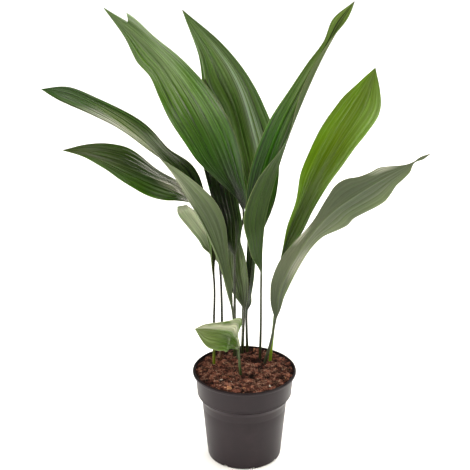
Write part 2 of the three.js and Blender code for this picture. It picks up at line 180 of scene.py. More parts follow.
def mottled(material, scale, detail, roughness=0.5, at=None):
    """A noise over the object in its own metres, or over other coordinates where they are given."""
    at = at or add(material, "TexCoord", {}, output="Object")
    sockets = {"Vector": at, "Scale": scale, "Detail": detail, "Roughness": roughness}
    return add(material, "TexNoise", sockets)


def skin(material, **sockets):
    """Gives a material its surface. A name's underscores stand for spaces."""
    named = {name.replace("_", " "): value for name, value in sockets.items()}
    add(material, "OutputMaterial", {"Surface": add(material, "BsdfPrincipled", named)})


def new_material(name):
    material = bpy.data.materials.new(name)
    material.use_nodes = True
    material.node_tree.nodes.clear()
    return material


# Moulded polypropylene: a satin skin with the fine grain of its mould, scuffed dull in places.
MOULD_GRAIN = 0.7  # mm across one grain, drawn coarser than the real 0.1 mm so that it shows
polypropylene = new_material("moulded_polypropylene")
grain = mottled(polypropylene, 1000 / MOULD_GRAIN, 2)
scuffs = mottled(polypropylene, 24, 6, 0.65)
plastic_tones = [(0.35, "#1d141a"), (0.55, "#21181d"), (0.75, "#281e23")]
skin(
    polypropylene,
    Base_Color=add(polypropylene, "ValToRGB", {"Fac": scuffs}, plastic_tones),
    Roughness=ranged(polypropylene, scuffs, 0.3, 0.7, 0.37, 0.47),
    Normal=add(polypropylene, "Bump", {"Height": grain, "Strength": 0.15, "Distance": 0.0001}),
    IOR=1.49,
    Specular_IOR_Level=0.22,
)

# The step is a wide hollow curve with a groove and a bead round its upper edge.
step = [
    (WALL_TOP_RADIUS + STEP_IN * share**STEP_CURVE, STEP_BOTTOM + (GROOVE_HEIGHT - STEP_BOTTOM) * share)
    for share in [k / STEP_POINTS for k in range(STEP_POINTS + 1)]
]
step += [
    (WALL_TOP_RADIUS + STEP_IN - GROOVE_DEPTH, GROOVE_HEIGHT + GROOVE_WIDTH),
    (COLLAR_RADIUS - BEAD_INSET, GROOVE_HEIGHT + BEAD_START),
    (COLLAR_RADIUS + BEAD_PROUD, COLLAR_BOTTOM - BEAD_FACE),
    (COLLAR_RADIUS + BEAD_PROUD, COLLAR_BOTTOM),
    (collar_at(COLLAR_BOTTOM + BEAD_FADE), COLLAR_BOTTOM + BEAD_FADE),
]
outside = [
    (0, 0),
    (FOOT_RADIUS - FOOT_FACE, 0),
    *corner((FOOT_RADIUS - FOOT_ROUNDING, FOOT_ROUNDING), FOOT_ROUNDING, -90, 0, 8),
    *[(wall_at(z), z) for z in (12, 30, 50, 70, RING_HEIGHT - RING_REACH)],
    (wall_at(RING_HEIGHT - RING_REACH / 2) - RING_DEPTH, RING_HEIGHT - RING_REACH / 2),
    (wall_at(RING_HEIGHT) - RING_DEPTH * 0.7, RING_HEIGHT),
    (wall_at(RING_HEIGHT + RING_REACH), RING_HEIGHT + RING_REACH),
    *step,
    *[(collar_at(z), z) for z in (COLLAR_BOTTOM + 6, COLLAR_BOTTOM + 20, lip_bottom - 1)],
    *corner((RIM_RADIUS - LIP_ROUNDING, lip_bottom + LIP_ROUNDING), LIP_ROUNDING, -80, 0, 6),
    *corner((RIM_RADIUS - LIP_ROUNDING, POT_HEIGHT - LIP_ROUNDING), LIP_ROUNDING, 0, 90, 7),
    *corner((mouth_radius + MOUTH_ROUNDING, POT_HEIGHT - MOUTH_ROUNDING), MOUTH_ROUNDING, 90, 180, 4),
]
inside = [
    (mouth_radius, POT_HEIGHT - FLARE_DEPTH + FLARE_RISE),
    (collar_at(POT_HEIGHT - FLARE_DEPTH) - WALL, POT_HEIGHT - FLARE_DEPTH),
    (COLLAR_RADIUS - WALL, COLLAR_BOTTOM),
    (WALL_TOP_RADIUS - WALL, STEP_BOTTOM),
    (wall_at(WALL) - WALL, WALL),
    (0, WALL),
]
pot = mesh_piece("nursery_pot", *turned([*outside, *inside], POT_SIDES), polypropylene)

# The drain holes and the foot slots are cut in one go.
cutter_vertices = []
cutter_faces = []


def add_prism(outline, low, high):
    """Adds an upright prism to the cutter, from [x, y] points in millimetres that run anticlockwise."""
    first = len(cutter_vertices)
    count = len(outline)
    cutter_vertices.extend((x * 0.001, y * 0.001, z * 0.001) for z in (low, high) for x, y in outline)
    cutter_faces.append(tuple(first + k for k in reversed(range(count))))
    cutter_faces.append(tuple(first + count + k for k in range(count)))
    for k in range(count):
        after = (k + 1) % count
        cutter_faces.append((first + k, first + after, first + count + after, first + count + k))


for hole in range(DRAIN_HOLES):
    angle = 2 * math.pi * hole / DRAIN_HOLES
    centre = (DRAIN_CIRCLE * math.cos(angle), DRAIN_CIRCLE * math.sin(angle))
    add_prism(corner(centre, DRAIN_RADIUS, 0, 350, 35), -WALL, 2 * WALL)
for slot in range(FOOT_SLOTS):
    angle = 2 * math.pi * (slot + SLOT_TURN) / FOOT_SLOTS
    outward = Vector((math.cos(angle), math.sin(angle)))
    sideways = Vector((-outward.y, outward.x)) * SLOT_WIDTH / 2
    near = outward * (FOOT_RADIUS - SLOT_REACH / 2)
    far = outward * (FOOT_RADIUS + SLOT_REACH / 2)
    slot_outline = [near - sideways, far - sideways, far + sideways, near + sideways]
    add_prism(slot_outline, -SLOT_HEIGHT, SLOT_HEIGHT)
cutter = mesh_piece("cutter", cutter_vertices, cutter_faces, polypropylene)
cut = pot.modifiers.new("openings", "BOOLEAN")
cut.operation = "DIFFERENCE"
cut.solver = "EXACT"
cut.object = cutter
bpy.context.view_layer.objects.active = pot
bpy.ops.object.modifier_apply(modifier=cut.name)
bpy.data.objects.remove(cutter)
pot.data.set_sharp_from_angle(angle=math.radians(SHARP_EDGE))

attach(pot, "root")
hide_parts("pot")

# ----------------------------------------------------------------------
# Potting mix. Damp peat, coir fibre and shredded bark with a few white perlite grains, pressed down
# by hand, so it is lumpy, a little higher in the middle and hollow beside the older stalks.
# ----------------------------------------------------------------------
MIX_EDGE = 152  # height at the pot's wall
MIX_MOUND = 3  # how much higher the middle is
MIX_GAP = 0.4  # between the mix and the wall
MIX_RINGS = 84
MIX_SIDES = 480
LUMP = 17  # mm across a broad lump, and how high it rises
LUMP_RISE = 1.5
CRUMB = 4.2  # mm across a coarse crumb
CRUMB_RISE = 1.9
GRIT = 1.7  # mm across a fine one
GRIT_RISE = 0.8
DUST = 3
DUST_RISE = 0.8
EDGE_SINK = 0.5  # how far the mix may sink at the wall; inwards it may sink ever more
EDGE_RISE = 1.2  # how far it may rise at the wall,
EDGE_SLOPE = 0.35  # and how much more for each mm inwards
UNDARKENED_RISE = 2  # mm over the edge height from which the mix is not darkened
DARKEST_DROP = 4  # mm under it from which it is darkened fully
LOW_DARKENING = 0.14
STALK_CLEARANCE = 3
LUMP_TILT = 0.3  # radians
STRAND_STEP = 1.2
STRAND_SIDES = 5

mix_radius = mouth_radius - MIX_GAP
# where the stalks come out of the mix
stalk_feet = [
    (-3, 75), (5, 68), (25, 44), (43, 33), (34, 23), (-11, 40),
    (-50, 20), (-39, 33), (-16, 52), (-4, 61), (-6, -19),
]
# where the mix has sunk: x, y, how wide and how deep
hollows = [
    (14, 33, 12, 6), (10, -22, 10, 6.5), (-19, 20, 9, 4.5), (-32, -38, 5, 1.4), (-22, 56, 14, 3),
    (32, 36, 9, 4), (10, 56, 8, 2.5), (24, 2, 8, 3),
]


def mix_height(x, y):
    """Height of the mix's surface over a place, in millimetres."""
    share = min(1, math.hypot(x, y) / mix_radius)
    height = MIX_EDGE + MIX_MOUND * (1 - share**3)
    height += LUMP_RISE * noise.noise((x / LUMP, y / LUMP, 3.1))
    for hx, hy, radius, depth in hollows:
        height -= depth * math.exp(-((x - hx) ** 2 + (y - hy) ** 2) / radius**2)
    coarse = noise.voronoi((x / CRUMB, y / CRUMB, 0.5 + 0.02 * x))[0]
    fine = noise.voronoi((x / GRIT, y / GRIT, 4.5))[0]
    height += CRUMB_RISE * (0.55 - coarse[0]) + GRIT_RISE * (0.5 - fine[0])
    height += DUST_RISE * noise.fractal((x / DUST, y / DUST, 9.0), 0.6, 2.1, 3)
    inward = mix_radius - math.hypot(x, y)
    highest = MIX_EDGE + EDGE_RISE + EDGE_SLOPE * max(0, inward)
    return np.clip(height, MIX_EDGE - EDGE_SINK - inward, highest)


# Peat and bark dust: reddish brown, and darker the lower its surface lies, most in the hollows; the
# tops of the crumbs stay paler.
def humus(name, dark, middle, pale, speck):
    """A crumbly earth material from three tones. Speck is the size of its smallest flecks in mm."""
    material = new_material(name)
    flecks = mottled(material, 1000 / speck, 5, 0.7)
    tone = maths(material, "ADD", flecks, mottled(material, 90, 3))
    tone = maths(material, "MULTIPLY", tone, 0.5)
    position = add(material, "TexCoord", {}, output="Object")
    height = add(material, "SeparateXYZ", {"Vector": position}, output="Z")
    undarkened_height, darkest_height = 0.001 * (MIX_EDGE + UNDARKENED_RISE), 0.001 * (MIX_EDGE - DARKEST_DROP)
    tone = maths(material, "SUBTRACT", tone, ranged(material, height, undarkened_height, darkest_height, 0, LOW_DARKENING))
    colour = add(material, "ValToRGB", {"Fac": tone}, [(0.41, dark), (0.5, middle), (0.58, pale)])
    bump = add(material, "Bump", {"Height": flecks, "Strength": 0.5, "Distance": 0.0006})
    skin(material, Base_Color=colour, Roughness=0.85, Normal=bump, Specular_IOR_Level=0.2)
    return material


peat = humus("damp_peat", "#140a08", "#4d2a22", "#a46c5a", 2.4)
bark = humus("shredded_bark", "#1a0c09", "#6c3e32", "#ba826c", 3)
coir = humus("coir_fibre", "#6a4c3e", "#b08874", "#dcb8a4", 6)
chip_wood = humus("fresh_bark_chip", "#a06a4a", "#cc9470", "#e4ba9a", 4)


def speckled(name, specks, tones, relief):
    """A dull material with specks in their own tones. Specks are their noise's scale, detail and
    roughness, and relief is how strongly they stand up and how far in metres."""
    material = new_material(name)
    flecks = mottled(material, *specks)
    colour = add(material, "ValToRGB", {"Fac": flecks}, tones)
    bump = add(material, "Bump", {"Height": flecks, "Strength": relief[0], "Distance": relief[1]})
    skin(material, Base_Color=colour, Roughness=0.8, Normal=bump)
    return material


# Expanded perlite: dull white puffed glass grains.
pit_tones = [(0.3, "#b9b0a2"), (0.65, "#efe9df")]
perlite = speckled("expanded_perlite", (1800, 3, 0.5), pit_tones, (0.4, 0.0004))

mix_profile = [
    (0, WALL + MIX_GAP),
    (wall_at(WALL) - WALL - MIX_GAP, WALL + MIX_GAP),
    (WALL_TOP_RADIUS - WALL - MIX_GAP, STEP_BOTTOM),
    (COLLAR_RADIUS - WALL - MIX_GAP, COLLAR_BOTTOM),
    (collar_at(POT_HEIGHT - FLARE_DEPTH) - WALL - MIX_GAP, POT_HEIGHT - FLARE_DEPTH),
    *[(mix_radius * ring / MIX_RINGS, MIX_EDGE) for ring in range(MIX_RINGS, 0, -1)],
    (0, MIX_EDGE),
]
mix_vertices, mix_faces = turned(mix_profile, MIX_SIDES)
for vertex in mix_vertices:
    if vertex[2] > 0.001 * (MIX_EDGE - 1):  # only the top is lumpy
        vertex[2] = 0.001 * mix_height(1000 * vertex[0], 1000 * vertex[1])
mix = mesh_piece("potting_mix", mix_vertices, mix_faces, peat)
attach(mix, "root")
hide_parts("soil")

draw = random.Random(7)


def open_ground(reach):
    """A random place on the mix, clear of the stalks and of the pot's wall."""
    while True:
        radius = (mix_radius - reach) * math.sqrt(draw.random())
        angle = draw.uniform(0, 2 * math.pi)
        x, y = radius * math.cos(angle), radius * math.sin(angle)
        if all(math.hypot(x - fx, y - fy) > STALK_CLEARANCE + reach for fx, fy in stalk_feet):
            return x, y


def lump_shape():
    """Corners and faces of a cube whose faces are split once and rounded: 26 corners, 24 faces."""
    corners = [Vector(c) for c in itertools.product((-1, 0, 1), repeat=3) if any(c)]
    where = {tuple(c): i for i, c in enumerate(corners)}
    quads = []
    for axis, side, u, v in itertools.product(range(3), (-1, 1), (-1, 0), (-1, 0)):
        square = [(u, v), (u + 1, v), (u + 1, v + 1), (u, v + 1)]
        quads.append([where[tuple(np.roll((side, a, b), axis))] for a, b in square[::side]])
    return [c.normalized() for c in corners], quads


lump_corners, lump_quads = lump_shape()


def add_lump(vertices, faces, x, y, size, roughness, sunk):
    """Adds one crumpled lump that lies on the mix at x, y. Sizes are half sizes in millimetres."""
    heading = draw.uniform(0, math.pi)
    tilt = draw.gauss(0, LUMP_TILT)
    roll = draw.gauss(0, LUMP_TILT)
    seed = draw.uniform(0, 90)
    first = len(vertices)
    height = mix_height(x, y) + size.z * (1 - 2 * sunk)
    for c in lump_corners:
        rough = 1 + roughness * noise.noise(c * 1.7 + Vector((seed, 0, 0)))
        p = Vector((c.x * size.x, c.y * size.y, c.z * size.z)) * rough
        p.z += p.x * math.tan(tilt) + p.y * math.tan(roll)
        turned_x = p.x * math.cos(heading) - p.y * math.sin(heading)
        turned_y = p.x * math.sin(heading) + p.y * math.cos(heading)
        vertices.append((0.001 * (x + turned_x), 0.001 * (y + turned_y), 0.001 * (height + p.z)))
    faces += [tuple(first + k for k in quad) for quad in lump_quads]


def scattered(name, count, length, width, thickness, roughness, material, sunk=0.25, placed=()):
    """Loose bits on the mix, from (lowest, highest) sizes in millimetres. Sunk is the share of a bit's
    height that lies in the mix. Placed is x, y, length, width and thickness of each bit that has a
    place of its own."""
    vertices = []
    faces = []
    for _ in range(count):
        size = Vector((draw.uniform(*length), draw.uniform(*width), draw.uniform(*thickness))) / 2
        x, y = open_ground(size.x)
        add_lump(vertices, faces, x, y, size, roughness, sunk)
    for x, y, *sizes in placed:
        add_lump(vertices, faces, x, y, Vector(sizes) / 2, roughness, sunk)
    piece = mesh_piece(name, vertices, faces, material)
    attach(piece, "root")


scattered("mix_crumbs", 1700, (1.4, 4.4), (1.2, 3.2), (1.0, 2.6), 0.7, peat)
scattered("bark_shreds", 620, (3, 9), (1, 2.8), (0.6, 1.5), 0.5, bark, 0.1)
scattered(
    "perlite_grains", 12, (1.0, 1.9), (0.9, 1.5), (0.8, 1.2), 0.5, perlite,
    placed=[(-38, -36, 7, 4, 3.4), (-21, -44, 3, 2.4, 2), (41, -56, 6, 3, 2.4)],
)
scattered(
    "bark_chips", 14, (3, 5), (2, 3.4), (1, 2), 0.5, chip_wood,
    placed=[(-25, -65, 12, 9, 8), (-31, -61, 5, 4, 3), (17, 70, 6, 3.5, 3), (-71, -6, 5, 4, 2)],
)


def coir_strands(name, count):
    """Curly fibres lying on the mix: thin tubes along a wandering path."""
    vertices = []
    faces = []
    for _ in range(count):
        x, y = open_ground(8)
        heading = draw.uniform(0, 2 * math.pi)
        bend = draw.gauss(0, 0.09)
        radius = draw.uniform(0.18, 0.4)
        steps = draw.randint(7, 16)
        lift = draw.uniform(0.2, 1.2)
        loops = []
        for k in range(steps):
            x += STRAND_STEP * math.cos(heading)
            y += STRAND_STEP * math.sin(heading)
            heading += bend + draw.gauss(0, 0.12)
            if math.hypot(x, y) > mix_radius - 2:
                break
            arch = lift * math.sin(math.pi * k / (steps - 1))
            loops.append((Vector((x, y, mix_height(x, y) + 0.2 + arch)), heading))
        if len(loops) < 4:
            continue
        # the path's heights are evened out, because a stiff fibre bridges the crumbs
        heights = [p.z for p, _ in loops]
        for k, (point, turn) in enumerate(loops):
            near = heights[max(0, k - 2) : k + 3]
            point.z = max(sum(near) / len(near), point.z - 0.6)
            first = len(vertices)
            side = Vector((-math.sin(turn), math.cos(turn), 0))
            for j in range(STRAND_SIDES):
                a = 2 * math.pi * j / STRAND_SIDES
                q = point + radius * (math.cos(a) * side + math.sin(a) * Vector((0, 0, 1)))
                vertices.append(tuple(0.001 * q))
            if k:
                before = first - STRAND_SIDES
                for j in range(STRAND_SIDES):
                    after = (j + 1) % STRAND_SIDES
                    faces.append((before + j, first + j, first + after, before + after))
        start = first - STRAND_SIDES * (len(loops) - 1)
        faces.append(tuple(start + k for k in range(STRAND_SIDES)))
        faces.append(tuple(first + k for k in reversed(range(STRAND_SIDES))))
    piece = mesh_piece(name, vertices, faces, coir)
    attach(piece, "root")


coir_strands("coir_strands", 400)

# ----------------------------------------------------------------------
# Leaves. Each grew as one piece from the rhizome: a stiff thin stalk that widens into a long, pointed,
# leathery blade with a keeled midrib and parallel veins that pleat it lightly. Both faces differ: the
# upper is deep green and satin, the under side duller and greyer.
#   stalk, blade  points on the midrib in mm, the stalk's from its foot, the blade's from base to tip
#   left, right   half widths in mm at even steps from the blade's base to its tip, the tip away
#   turn          degrees that the upper side is turned about the midrib, away from the front
#   fold, curl    degrees that each half rises from the midrib, and bends by on its way to the margin
#   wave          waves along a margin, their height in mm, and where they start
#   pleat         how much deeper than usual the blade is pleated
#   front         the direction that the upper side faces before it is turned, if not towards -Y
#   tear          the tip's tear in the right half: from where the margin is drawn ahead, where it is
#                 torn, the half width that is left, and how far ahead the margin reaches in mm
#   upper, under  the tones of each face from the blade's base to its tip, partly its own green and
#   partly painted shade and painted highlight
#   vein_and_sheen_streak  how much the veins lighten and darken the blade, strongly enough to paint
#   sheen and shade in streaks
#   stem          the stalk's tones at its foot and its top
#   painted_light_tint  painted light or shade on a half: the tone that it turns to, how far, and from
#   where to where across the half
#   shine         how strongly the wax reflects
#   painted_light_patches  painted highlight (paler tones) or painted shade (deeper greens) in streaks:
#   the face it is on,
#                 its tone, how strong it is, its centre across and along the blade, and its half width
#                 and half length
# ----------------------------------------------------------------------
FOOT_HEIGHT = 118  # where the stalks end in the mix
STALK_RADIUS = 2
FOOT_SWELL = 0.4  # share by which a stalk is thicker at its foot
CHANNEL = 0.85  # a stalk is flatter above than below, by this factor
BLADE = 0.8  # thickness of a blade
MARGIN = 0.35  # and at its edge
BLADE_START = 0.12  # share of the blade over which the stalk flattens into it
RIB = 2.2  # half width of the midrib
RIB_GROOVE = 0.15
KEEL = 1.8  # depth of the midrib under the blade's base
KEEL_TIP = 0.2
TIP = 0.45  # half width of the tip
NARROW = 20  # a half narrower than this has lower waves
MARGIN_SHIFT = 2.1  # radians between the waves of the two margins
PLEATS = 4.5  # pleats on each half of a blade
PLEAT_DEPTH = 0.34
PLEAT_WIDTH = 40  # a half narrower than this has shallower pleats
STALK_STEPS = 22
BLADE_STEPS = 120
ACROSS_STEPS = 34
CROWDING = 1.2  # the steps lie closer together towards the midrib
TEAR_LENGTH = 0.004  # share of the blade over which the tear runs across

# what a leaf has that doesn't say otherwise
UNCURLED = {"left": [0, 0], "right": [0, 0]}
GREY_GREEN = ["#3c4a2c", "#4f6038", "#56683f", "#5c6e46"]
VEIN_AND_SHEEN_STREAK = 0.6
WAX = 0.5

leaves = {
    "leaf_tall_front": {
        "stalk": [
            (-3, 68, FOOT_HEIGHT), (-3, 75, 153), (-2, 76, 198),
            (-2, 80, 252), (-6, 85, 308), (-8, 87, 356),
        ],
        "blade": [
            (-2, 84, 404), (-32, 83, 469), (-63, 90, 542),
            (-103, 105, 612), (-150, 120, 669), (-223, 135, 728),
        ],
        "left": [2, 6, 19, 35, 41, 44, 41, 35, 34, 15, 0.5],
        "right": [2, 18, 32, 40, 43, 39, 32, 26, 18, 18, 0.5],
        "turn": [10, 0, -5, -5],
        "fold": {"left": [20, 8, 0], "right": [20, 12, 8]},
        "curl": {"left": [10, 0, -10], "right": [0, -10, -15]},
        "wave": (2.5, 3, 0),
        "tear": {"from": 0.7, "at": 0.905, "inner": 7, "reach": 14},
        "pleat": 1.5,
        "upper": ["#122602", "#345e0a", "#4a6c1c", "#466616"],
        "stem": ["#3c4a1c", "#20290f"],
        "painted_light_tint": {"right": ("#3c6c0c", 0.6, 0.25, 0.85)},
        "painted_light_patches": [
            ("upper", "#040a00", 0.9, 0, 0, 0.5, 0.14),
            ("upper", "#1c3c06", 0.6, 1, 0.24, 0.6, 0.25),
            ("upper", "#8aa674", 0.6, 0.3, 0.72, 0.35, 0.16),
            ("upper", "#acba9c", 0.8, 1, 0.84, 0.5, 0.26),
            ("upper", "#2c4a10", 0.5, -0.7, 0.95, 0.8, 0.14),
        ],
    },
    "leaf_tall_back": {
        "stalk": [(5, 66, FOOT_HEIGHT), (5, 68, 154), (4, 69, 191)],
        "blade": [
            (4, 70, 229), (8, 75, 282), (16, 97, 359), (21, 123, 427), (9, 147, 507), (-24, 172, 607),
            (-101, 202, 706),
        ],
        "left": [2, 4, 6, 9, 12, 20, 26, 34, 40, 42, 50, 23, 0.5],
        "right": [2, 12, 14, 11, 17, 27, 35, 41, 42, 34, 24, 15, 0.5],
        "turn": [-20, -10, 0, 0, 0],
        "fold": {"left": [30, 20, 8, 0], "right": [60, 40, 15, 8, 5]},
        "curl": {"left": [0, 0, 0, -10], "right": [0, 0, 0, -10]},
        "wave": (2, 2, 1),
        "pleat": 2.2,
        "upper": ["#1e2e0a", "#1e3206", "#4c6a26", "#587634"],
        "stem": ["#33391c", "#262f16"],
        "painted_light_tint": {"right": ("#35620f", 0.6, 0.45, 0.9)},
        "painted_light_patches": [
            ("upper", "#8ea47c", 0.8, -1, 0.68, 0.6, 0.18),
            ("upper", "#aabda6", 0.95, 0.3, 0.72, 0.35, 0.26),
            ("upper", "#0c1604", 0.8, -0.4, 0.48, 0.4, 0.14),
            ("upper", "#0c1a02", 0.7, 0.9, 0.4, 0.6, 0.16),
            ("upper", "#2a4612", 0.5, -0.5, 0.94, 0.5, 0.1),
        ],
    },
    "leaf_folded": {
        "stalk": [(26, 44, FOOT_HEIGHT), (26, 44, 156), (27, 43, 214)],
        "blade": [
            (27, 42, 302), (29, 40, 369), (37, 38, 429),
            (66, 34, 541), (114, 32, 667), (165, 30, 767),
        ],
        "left": [2, 14, 23, 28, 33, 38, 42, 43, 40, 36, 27, 19, 11, 15, 0.5],
        "right": [2, 13, 25, 33, 39, 42, 43, 41, 38, 34, 29, 21, 11, 9, 0.5],
        "turn": [-90, -90, -90, -85],
        "fold": {"left": [60, 60, 60, 65, 75, 75, 75], "right": [60, 50, 50, 55, 45, 12, 30, 25, -60]},
        "wave": (2, 1.5, 1),
        "pleat": 1.6,
        "upper": ["#101a04", "#0e2402", "#285204", "#607832"],
        "under": ["#344a20", "#2e4414", "#2c420e", "#5c6a3c"],
        "stem": ["#2c321c", "#363c28"],
        "shine": 0.2,
        "painted_light_patches": [
            ("upper", "#78895a", 0.7, -0.05, 0.64, 0.3, 0.14),
            ("upper", "#7c8c62", 0.6, -0.4, 0.77, 0.5, 0.1),
        ],
    },
    "leaf_bright": {
        "stalk": [(43, 33, FOOT_HEIGHT), (43, 33, 154), (48, 38, 211), (53, 46, 268)],
        "blade": [
            (60, 52, 325), (77, 60, 382), (113, 70, 461),
            (149, 82, 525), (184, 94, 582), (207, 104, 639),
        ],
        "left": [2, 4, 9, 13, 27, 32, 35, 35, 31, 17, 0.5],
        "right": [2, 10, 20, 20, 23, 28, 31, 36, 38, 22, 0.5],
        "turn": [-30, -10, 0, 0],
        "fold": {"left": [40, 10, 5], "right": [30, 10, 5]},
        "curl": {"left": [0, 0, 0], "right": [0, -20, -40]},
        "wave": (2.5, 2.5, 2),
        # painted light: the bright yellow-green of this blade, its left half and its stalk stands for
        # light shining through the thin blade
        "upper": ["#223604", "#3c5406", "#5e7a10", "#5a7420"],
        "under": ["#4c6a20", "#6a8a38", "#7a9448", "#7a9448"],
        "vein_and_sheen_streak": 0.2,
        "stem": ["#7a9a1c", "#3c5214"],
        "painted_light_tint": {"left": ("#6e9a0c", 0.6, 0.2, 0.7), "right": ("#789646", 0.5, 0.3, 0.9)},
        "shine": 0.35,
        "painted_light_patches": [
            ("upper", "#1c2a08", 0.7, 1, 0.14, 0.7, 0.26),
            ("upper", "#80a446", 0.7, 0.6, 0.76, 0.7, 0.2),
            ("upper", "#466018", 0.5, -0.6, 0.97, 0.7, 0.13),
        ],
    },
    "leaf_low_right": {
        "stalk": [(34, 23, FOOT_HEIGHT), (34, 23, 153), (43, 21, 192)],
        "blade": [
            (51, 18, 240), (60, 8, 304), (88, -5, 371),
            (130, -18, 435), (185, -32, 485), (237, -44, 523),
            (281, -52, 552),
        ],
        "left": [
            2, 6, 10, 15, 17, 18, 19, 20, 22, 27, 39, 44, 39, 41, 44, 44, 36, 25, 19, 13, 1.5, 3.5, 0.5,
        ],
        "right": [
            2, 9, 15, 19, 20, 20, 19, 17, 15, 13, 13, 17, 23, 30, 30, 24, 22, 22, 13, 4, 1.5, 3.5, 0.5,
        ],
        "turn": [-180, -170, -165, -165, -160],
        "fold": {"left": [30, 20, 5, 0], "right": [40, 40, 45, 25, 5, 0]},
        "wave": (3, 2.5, 1),
        "upper": ["#2c4a20", "#3a5c26", "#2c4a20", "#20261c"],
        "under": ["#323e1e", "#4c5636", "#3c4828", "#424e2e"],
        "vein_and_sheen_streak": 0.3,
        "stem": ["#2c3318", "#3a4428"],
        "painted_light_tint": {"left": ("#5f7436", 0.5, 0.25, 0.85)},
        "painted_light_patches": [
            ("under", "#2a3a1a", 0.8, 0.1, 0.03, 1.2, 0.22),
            ("under", "#a8a898", 0.7, -0.6, 0.27, 0.7, 0.1),
            ("under", "#b4b4a4", 0.9, 0.9, 0.38, 0.5, 0.06),
            ("under", "#a8aa98", 0.8, 0.9, 0.78, 0.5, 0.07),
            ("under", "#2e4020", 0.5, 0, 0.6, 1.1, 0.16),
        ],
    },
    "leaf_long_left": {
        "stalk": [(-11, 40, FOOT_HEIGHT), (-11, 40, 162), (-16, 40, 197)],
        "blade": [
            (-21, 41, 252), (-41, 40, 330), (-64, 36, 392),
            (-89, 32, 442), (-118, 30, 494), (-157, 29, 540),
            (-218, 31, 589), (-271, 33, 617), (-316, 36, 626),
        ],
        "left": [2, 15, 33, 38, 38, 34, 20, 30, 27, 0.5],
        "right": [2, 8, 14, 38, 45, 27, 35, 28, 24, 0.5],
        "turn": [160, 140, 98, 80, 75],
        "fold": {"left": [60, 50, 23, 3, 0], "right": [60, 70, 48, 2, 0]},
        "wave": (2.5, 2, 1),
        "pleat": 1.3,
        "upper": ["#0e1a02", "#0e2202", "#344c10", "#285008"],
        "under": ["#3c5020", "#3e4e28", "#3e4a28", "#565f42"],
        "stem": ["#30381c", "#363f22"],
        "painted_light_tint": {"left": ("#586440", 0.2, 0.25, 0.85)},
        "painted_light_patches": [
            ("upper", "#c2c2b8", 1, -0.9, 0.73, 0.8, 0.12),
            ("upper", "#b8baa6", 0.9, -0.4, 0.63, 0.6, 0.12),
            ("upper", "#8c9a6c", 0.6, 0.2, 0.71, 0.5, 0.1),
            ("upper", "#244808", 0.6, -0.4, 0.92, 0.6, 0.12),
            ("under", "#b8bba6", 0.6, 0.1, 0.45, 0.4, 0.14),
        ],
    },
    "leaf_low_left": {
        "stalk": [(-50, 20, FOOT_HEIGHT), (-50, 20, 150), (-50, 24, 224)],
        "blade": [
            (-50, 38, 306), (-67, 68, 391), (-104, 80, 437),
            (-161, 85, 464), (-225, 88, 489), (-293, 90, 505),
        ],
        "left": [2, 6, 8, 27, 42, 42, 42, 38, 20, 5, 0.5],
        "right": [2, 9, 8, 14, 24, 40, 50, 52, 41, 23, 0.5],
        "turn": [60, 65, 72, 66, 60],
        "fold": {"left": [70, 45, 0, 5, 0], "right": [70, 30, -20, -3, 0]},
        "wave": (2.5, 2.5, 3),
        "upper": ["#282e08", "#1e3002", "#203a02", "#344808"],
        "under": ["#3f4a2c", "#46522f", "#4f5c38", "#56643c"],
        "vein_and_sheen_streak": 0.35,
        "stem": ["#6a7a18", "#23271a"],
        "painted_light_tint": {"left": ("#3e6602", 0.8, 0.1, 0.6)},
        "shine": 0.28,
        "painted_light_patches": [
            ("upper", "#c0beb0", 0.9, 0.7, 0.36, 0.9, 0.13),
            ("upper", "#a4a692", 0.8, 0.05, 0.46, 0.4, 0.1),
            ("upper", "#122402", 0.8, 0.6, 0.62, 0.6, 0.16),
            ("upper", "#5a6a40", 0.5, -0.2, 0.8, 0.6, 0.14),
        ],
    },
    "leaf_pale": {
        "stalk": [(-39, 33, FOOT_HEIGHT), (-39, 33, 151), (-37, 42, 222)],
        "blade": [
            (-41, 62, 317), (-56, 74, 349), (-73, 84, 373),
            (-89, 94, 392), (-96, 106, 396), (-102, 130, 392),
            (-105, 150, 370),
        ],
        "left": [2, 20, 20, 21, 21, 17, 12, 7, 0.5],
        "right": [2, 6, 8, 9, 9, 8, 6, 4, 0.5],
        "turn": [0, 0],
        "fold": {"left": [30, 10, 0], "right": [30, 10, 0]},
        "wave": (2, 1, 1),
        "front": (0, -0.42, 0.91),
        # painted highlight: the near-white middle of the upper face is the glare of the lamp on the
        # right, laid into its colour
        "upper": ["#7c8c62", "#c2c9ac", "#d2d6c0", "#3c5a1c"],
        "under": ["#3f4a2c", "#46522f", "#4f5c38", "#56643c"],
        "vein_and_sheen_streak": 0.25,
        "stem": ["#5a3c26", "#22261a"],
    },
    "leaf_dark_inner": {
        "stalk": [(-15, 52, FOOT_HEIGHT), (-16, 52, 161), (-16, 52, 223), (-16, 53, 283)],
        "blade": [(-16, 56, 335), (-16, 73, 385), (-27, 104, 436), (-43, 124, 512), (-64, 140, 609)],
        "left": [2, 21, 26, 29, 31, 33, 34, 26, 0.5],
        "right": [2, 9, 12, 12, 16, 20, 21, 16, 0.5],
        "turn": [0, 0],
        "fold": {"left": [30, 12, 0], "right": [30, -10, -5]},
        "wave": (2, 1.5, 1),
        # painted shade: the upper face is this dark because the tall front leaf shades it
        "upper": ["#1e2f06", "#132204", "#122102", "#3a501e"],
        "under": ["#2c3820", "#35452a", "#3a4a2c", "#3a4a2c"],
        "stem": ["#30381c", "#2c3418"],
        "painted_light_tint": {"right": ("#2e4a12", 0.8, 0.2, 0.7)},
    },
    "leaf_small_inner": {
        "stalk": [(-4, 60, FOOT_HEIGHT), (-4, 61, 153), (-2, 61, 187)],
        "blade": [(0, 60, 235), (-1, 62, 269), (-6, 68, 305), (-11, 77, 340), (-17, 88, 380)],
        "left": [2, 13, 22, 27, 27, 24, 19, 12, 0.5],
        "right": [2, 6, 9, 12, 12, 11, 8, 4, 0.5],
